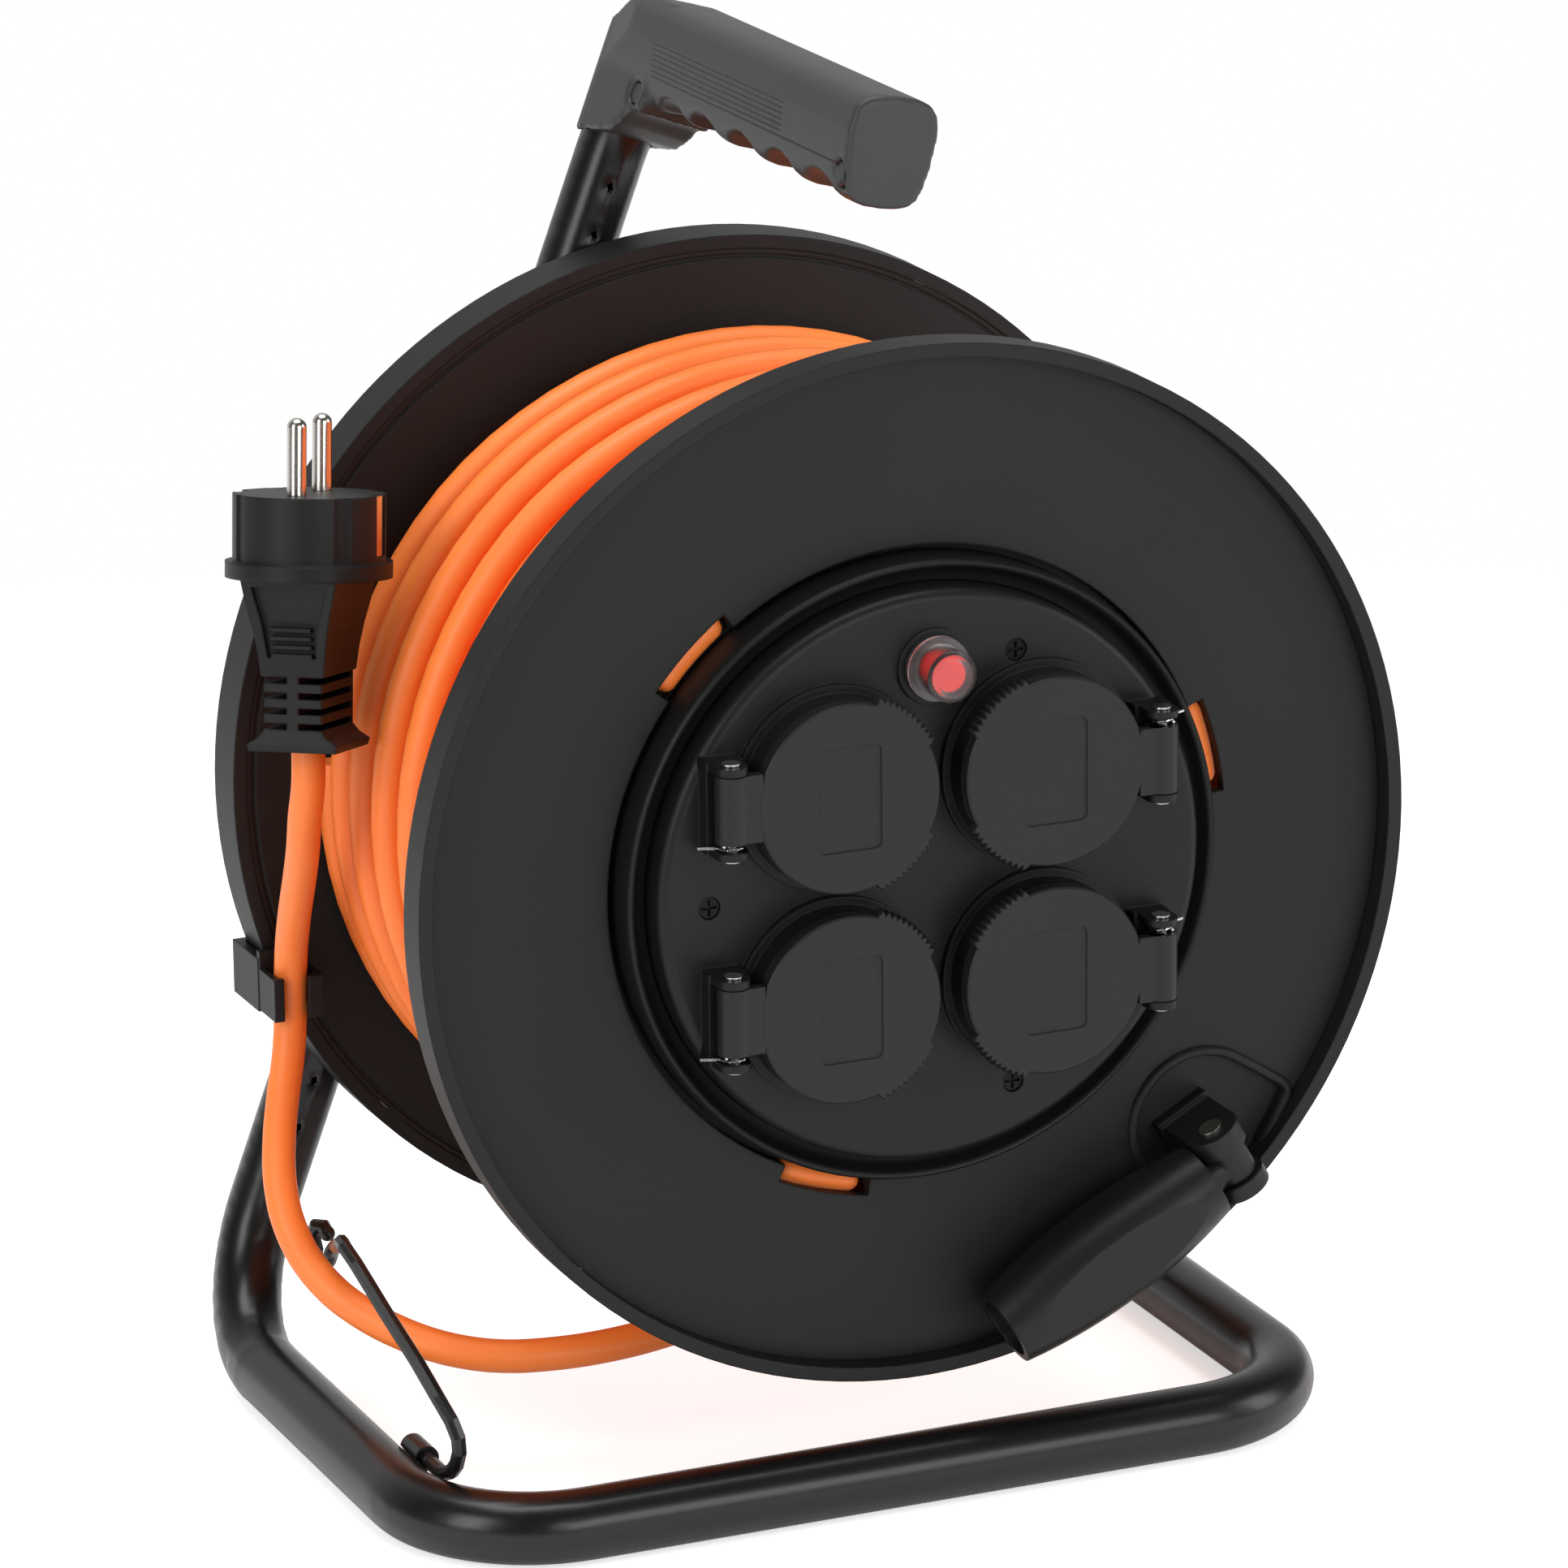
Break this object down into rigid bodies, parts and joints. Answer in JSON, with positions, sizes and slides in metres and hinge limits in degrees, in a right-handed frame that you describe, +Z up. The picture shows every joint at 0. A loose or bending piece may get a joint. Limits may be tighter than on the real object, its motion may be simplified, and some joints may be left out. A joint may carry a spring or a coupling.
{
  "type": "extension cord reel",
  "caption": "Cable drum on a bent tube stand with hand grip, folding crank, wire cable guide, lidded sockets, reset button and a plug on its lead.",
  "frame": {"origin": "on the floor, in the middle of the footprint without the free cable", "axes": "+X to the right as seen from the sockets, +Y to the back, +Z up; the drum turns about Y"},
  "size_m": [0.2712, 0.186, 0.3501],
  "materials": {
    "stand_paint": "black enamel on bent steel tube",
    "axle_steel": "turned steel",
    "handle_plastic": "dark grey moulded handle",
    "wire_paint": "black coated wire",
    "cable_jacket": "smooth orange jacket",
    "plug_rubber": "soft black plug body",
    "pin_nickel": "nickel plated",
    "clip_plastic": "black clip",
    "drum_plastic": "black moulded drum",
    "screw_zinc": "zinc plated",
    "bush_plastic": "natural acetal",
    "panel_plastic": "black moulded panel",
    "socket_plastic": "dark moulded insert",
    "contact_brass": "plain brass",
    "breaker_plastic": "dark moulded housing",
    "boot_clear": "clear soft boot",
    "button_red": "red button",
    "spring_steel": "bright spring wire",
    "lid_plastic": "black moulded lid",
    "seal_rubber": "dark grey seal",
    "crank_plastic": "black moulded crank",
    "grip_plastic": "black moulded grip"
  },
  "bodies": {
    "stand": {"frame_tube": "stand_paint", "axle": "axle_steel", "axle_boss": "stand_paint", "axle_washer": "screw_zinc", "axle_circlip": "spring_steel", "handle_left": "handle_plastic", "handle_right": "handle_plastic", "handle_screws": "screw_zinc", "guide_bracket": "stand_paint", "supply_lead": "cable_jacket", "plug_body": "plug_rubber", "plug_pins": "pin_nickel", "plug_earth_clips": "pin_nickel", "cable_clip": "clip_plastic"},
    "drum": {"rear_flange": "drum_plastic", "rear_ribs": "drum_plastic", "rear_rim": "drum_plastic", "drum_barrel": "drum_plastic", "front_flange": "drum_plastic", "front_rim": "drum_plastic", "flange_screws": "screw_zinc", "hub_bushes": "bush_plastic", "cable_layers": "cable_jacket", "cable_winding": "cable_jacket", "socket_panel": "panel_plastic", "panel_screws": "screw_zinc", "socket_insert_1": "socket_plastic", "socket_insert_2": "socket_plastic", "socket_insert_3": "socket_plastic", "socket_insert_4": "socket_plastic", "socket_contacts": "contact_brass", "socket_earth_clips": "pin_nickel", "bus_bars": "contact_brass", "breaker_body": "breaker_plastic", "breaker_boot": "boot_clear", "reset_spring": "spring_steel", "hinge_pins": "screw_zinc", "lid_springs": "spring_steel", "crank_bracket": "crank_plastic", "crank_pin": "screw_zinc"},
    "reset_button": {"reset_button": "button_red"},
    "crank_arm": {"crank_spindle": "crank_plastic", "grip_washer": "screw_zinc", "grip_screw": "screw_zinc"},
    "crank_grip": {"crank_grip": "grip_plastic"},
    "guide": {"cable_guide": "wire_paint"},
    "lid_1": {"lid_1": "lid_plastic", "lid_seal_1": "seal_rubber"},
    "lid_2": {"lid_2": "lid_plastic", "lid_seal_2": "seal_rubber"},
    "lid_3": {"lid_3": "lid_plastic", "lid_seal_3": "seal_rubber"},
    "lid_4": {"lid_4": "lid_plastic", "lid_seal_4": "seal_rubber"}
  },
  "joints": [
    {"name": "drum_spin", "type": "hinge", "parent": "stand", "child": "drum", "pos_m": [0.00375, -0.00155, 0.159], "axis": [0, 1, 0], "continuous": true},
    {"name": "lid_1_hinge", "type": "hinge", "parent": "drum", "child": "lid_1", "pos_m": [-0.05265, -0.08855, 0.1853], "axis": [0, 0, -1], "range_deg": [0, 100], "stiffness_Nm_per_rad": 0.02, "springref_deg": -22.92},
    {"name": "lid_2_hinge", "type": "hinge", "parent": "drum", "child": "lid_2", "pos_m": [0.06015, -0.08855, 0.1853], "axis": [0, 0, 1], "range_deg": [0, 100], "stiffness_Nm_per_rad": 0.02, "springref_deg": -22.92},
    {"name": "lid_3_hinge", "type": "hinge", "parent": "drum", "child": "lid_3", "pos_m": [-0.05265, -0.08855, 0.1327], "axis": [0, 0, -1], "range_deg": [0, 100], "stiffness_Nm_per_rad": 0.02, "springref_deg": -22.92},
    {"name": "lid_4_hinge", "type": "hinge", "parent": "drum", "child": "lid_4", "pos_m": [0.06015, -0.08855, 0.1327], "axis": [0, 0, 1], "range_deg": [0, 100], "stiffness_Nm_per_rad": 0.02, "springref_deg": -22.92},
    {"name": "reset_press", "type": "slide", "parent": "drum", "child": "reset_button", "axis": [0, 1, 0], "range_m": [0, 0.003], "stiffness_N_per_m": 400, "springref_m": -0.002, "deforming": ["reset_spring"]},
    {"name": "crank_fold", "type": "hinge", "parent": "drum", "child": "crank_arm", "pos_m": [0.08245, -0.08205, 0.0758], "axis": [-0.4879, 0, 0.8729], "range_deg": [0, 90]},
    {"name": "crank_grip_spin", "type": "hinge", "parent": "crank_arm", "child": "crank_grip", "pos_m": [0.08245, -0.08205, 0.0758], "axis": [-0.8729, 0, -0.4879], "continuous": true},
    {"name": "guide_swing", "type": "hinge", "parent": "stand", "child": "guide", "pos_m": [-0.11515, -0.05155, 0.015], "axis": [0, 1, 0], "range_deg": [0, 30]}
  ]
}
